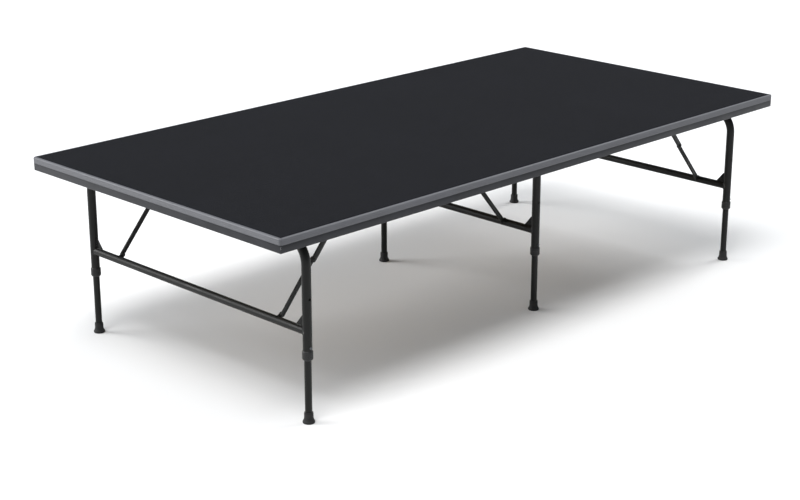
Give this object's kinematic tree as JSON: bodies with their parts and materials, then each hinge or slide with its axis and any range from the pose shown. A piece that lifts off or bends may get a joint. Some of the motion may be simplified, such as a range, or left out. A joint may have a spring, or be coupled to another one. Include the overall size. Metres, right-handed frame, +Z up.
{
  "type": "stage riser platform",
  "caption": "Folding stage riser: a carpeted rectangular deck with a grey edge band on hinged tubular leg frames with crossbars, folding braces and telescoping lower legs.",
  "frame": {"origin": "centre of the footprint, on the floor under the feet", "axes": "+X along the deck's long side, +Y across it, +Z up"},
  "size_m": [2.4384, 1.2192, 0.635],
  "materials": {
    "carpet": "cut pile, matt",
    "plywood": "sealed birch faces",
    "edge_trim": "satin grey moulding",
    "rail": "satin dark grey powder coat",
    "black_steel": "satin black powder coat",
    "brace_steel": "satin black, worn at the knees",
    "black_plastic": "moulded nylon",
    "rubber": "moulded rubber",
    "bright_steel": "zinc-plated spring steel"
  },
  "bodies": {
    "deck": {"deck_panel": "plywood", "deck_carpet": "carpet", "edge_trim_near": "edge_trim", "edge_trim_far": "edge_trim", "edge_trim_left": "edge_trim", "edge_trim_right": "edge_trim", "deck_rail_near": "rail", "deck_rail_far": "rail", "deck_rail_left": "rail", "deck_rail_right": "rail", "hinge_rail_left": "black_steel", "hinge_rail_middle": "black_steel", "hinge_rail_right": "black_steel", "brace_rail_left": "black_steel", "brace_rail_middle": "black_steel", "brace_rail_right": "black_steel"},
    "leg_frame_left": {"leg_tube_left": "black_steel", "crossbar_left": "black_steel", "collar_left_near": "black_plastic", "collar_left_far": "black_plastic"},
    "lower_braces_left": {"brace_lower_left_near": "brace_steel", "brace_lower_left_far": "brace_steel"},
    "upper_braces_left": {"brace_upper_left_near": "brace_steel", "brace_upper_left_far": "brace_steel"},
    "lower_leg_left_near": {"inner_leg_left_near": "black_steel", "foot_left_near": "rubber"},
    "snap_button_left_near": {"snap_clip_left_near": "bright_steel"},
    "lower_leg_left_far": {"inner_leg_left_far": "black_steel", "foot_left_far": "rubber"},
    "snap_button_left_far": {"snap_clip_left_far": "bright_steel"},
    "leg_frame_middle": {"leg_tube_middle": "black_steel", "crossbar_middle": "black_steel", "collar_middle_near": "black_plastic", "collar_middle_far": "black_plastic"},
    "lower_braces_middle": {"brace_lower_middle_near": "brace_steel", "brace_lower_middle_far": "brace_steel"},
    "upper_braces_middle": {"brace_upper_middle_near": "brace_steel", "brace_upper_middle_far": "brace_steel"},
    "lower_leg_middle_near": {"inner_leg_middle_near": "black_steel", "foot_middle_near": "rubber"},
    "snap_button_middle_near": {"snap_clip_middle_near": "bright_steel"},
    "lower_leg_middle_far": {"inner_leg_middle_far": "black_steel", "foot_middle_far": "rubber"},
    "snap_button_middle_far": {"snap_clip_middle_far": "bright_steel"},
    "leg_frame_right": {"leg_tube_right": "black_steel", "crossbar_right": "black_steel", "collar_right_near": "black_plastic", "collar_right_far": "black_plastic"},
    "lower_braces_right": {"brace_lower_right_near": "brace_steel", "brace_lower_right_far": "brace_steel"},
    "upper_braces_right": {"brace_upper_right_near": "brace_steel", "brace_upper_right_far": "brace_steel"},
    "lower_leg_right_near": {"inner_leg_right_near": "black_steel", "foot_right_near": "rubber"},
    "snap_button_right_near": {"snap_clip_right_near": "bright_steel"},
    "lower_leg_right_far": {"inner_leg_right_far": "black_steel", "foot_right_far": "rubber"},
    "snap_button_right_far": {"snap_clip_right_far": "bright_steel"}
  },
  "joints": [
    {"name": "fold_left", "type": "hinge", "parent": "deck", "child": "leg_frame_left", "pos_m": [-1.053, 0, 0.573], "axis": [0, -1, 0], "range_deg": [0, 90]},
    {"name": "lower_braces_left_turn", "type": "hinge", "parent": "leg_frame_left", "child": "lower_braces_left", "pos_m": [-1.035, 0, 0.305], "axis": [0, -1, 0], "range_deg": [0, 39.7]},
    {"name": "upper_braces_left_turn", "type": "hinge", "parent": "deck", "child": "upper_braces_left", "pos_m": [-0.785, 0, 0.597], "axis": [0, -1, 0], "range_deg": [-48.6, 0]},
    {"name": "leg_slide_left_near", "type": "slide", "parent": "leg_frame_left", "child": "lower_leg_left_near", "axis": [0, 0, 1], "range_m": [0, 0.1524]},
    {"name": "snap_press_left_near", "type": "slide", "parent": "lower_leg_left_near", "child": "snap_button_left_near", "axis": [0, 1, 0], "range_m": [0, 0.0055], "stiffness_N_per_m": 2000, "deforming": ["snap_clip_left_near"]},
    {"name": "leg_slide_left_far", "type": "slide", "parent": "leg_frame_left", "child": "lower_leg_left_far", "axis": [0, 0, 1], "range_m": [0, 0.1524]},
    {"name": "snap_press_left_far", "type": "slide", "parent": "lower_leg_left_far", "child": "snap_button_left_far", "axis": [0, -1, 0], "range_m": [0, 0.0055], "stiffness_N_per_m": 2000, "deforming": ["snap_clip_left_far"]},
    {"name": "fold_middle", "type": "hinge", "parent": "deck", "child": "leg_frame_middle", "pos_m": [0.154, 0, 0.573], "axis": [0, 1, 0], "range_deg": [0, 90]},
    {"name": "lower_braces_middle_turn", "type": "hinge", "parent": "leg_frame_middle", "child": "lower_braces_middle", "pos_m": [0.136, 0, 0.305], "axis": [0, 1, 0], "range_deg": [0, 39.7]},
    {"name": "upper_braces_middle_turn", "type": "hinge", "parent": "deck", "child": "upper_braces_middle", "pos_m": [-0.114, 0, 0.597], "axis": [0, 1, 0], "range_deg": [-48.6, 0]},
    {"name": "leg_slide_middle_near", "type": "slide", "parent": "leg_frame_middle", "child": "lower_leg_middle_near", "axis": [0, 0, 1], "range_m": [0, 0.1524]},
    {"name": "snap_press_middle_near", "type": "slide", "parent": "lower_leg_middle_near", "child": "snap_button_middle_near", "axis": [0, 1, 0], "range_m": [0, 0.0055], "stiffness_N_per_m": 2000, "deforming": ["snap_clip_middle_near"]},
    {"name": "leg_slide_middle_far", "type": "slide", "parent": "leg_frame_middle", "child": "lower_leg_middle_far", "axis": [0, 0, 1], "range_m": [0, 0.1524]},
    {"name": "snap_press_middle_far", "type": "slide", "parent": "lower_leg_middle_far", "child": "snap_button_middle_far", "axis": [0, -1, 0], "range_m": [0, 0.0055], "stiffness_N_per_m": 2000, "deforming": ["snap_clip_middle_far"]},
    {"name": "fold_right", "type": "hinge", "parent": "deck", "child": "leg_frame_right", "pos_m": [1.078, 0, 0.573], "axis": [0, 1, 0], "range_deg": [0, 90]},
    {"name": "lower_braces_right_turn", "type": "hinge", "parent": "leg_frame_right", "child": "lower_braces_right", "pos_m": [1.06, 0, 0.305], "axis": [0, 1, 0], "range_deg": [0, 39.7]},
    {"name": "upper_braces_right_turn", "type": "hinge", "parent": "deck", "child": "upper_braces_right", "pos_m": [0.81, 0, 0.597], "axis": [0, 1, 0], "range_deg": [-48.6, 0]},
    {"name": "leg_slide_right_near", "type": "slide", "parent": "leg_frame_right", "child": "lower_leg_right_near", "axis": [0, 0, 1], "range_m": [0, 0.1524]},
    {"name": "snap_press_right_near", "type": "slide", "parent": "lower_leg_right_near", "child": "snap_button_right_near", "axis": [0, 1, 0], "range_m": [0, 0.0055], "stiffness_N_per_m": 2000, "deforming": ["snap_clip_right_near"]},
    {"name": "leg_slide_right_far", "type": "slide", "parent": "leg_frame_right", "child": "lower_leg_right_far", "axis": [0, 0, 1], "range_m": [0, 0.1524]},
    {"name": "snap_press_right_far", "type": "slide", "parent": "lower_leg_right_far", "child": "snap_button_right_far", "axis": [0, -1, 0], "range_m": [0, 0.0055], "stiffness_N_per_m": 2000, "deforming": ["snap_clip_right_far"]}
  ],
  "couplings": [
    {"joint": "lower_braces_left_turn", "follows": "fold_left", "ratio": 0.44083},
    {"joint": "upper_braces_left_turn", "follows": "fold_left", "ratio": -0.5393},
    {"joint": "lower_braces_middle_turn", "follows": "fold_middle", "ratio": 0.44083},
    {"joint": "upper_braces_middle_turn", "follows": "fold_middle", "ratio": -0.5393},
    {"joint": "lower_braces_right_turn", "follows": "fold_right", "ratio": 0.44083},
    {"joint": "upper_braces_right_turn", "follows": "fold_right", "ratio": -0.5393}
  ]
}
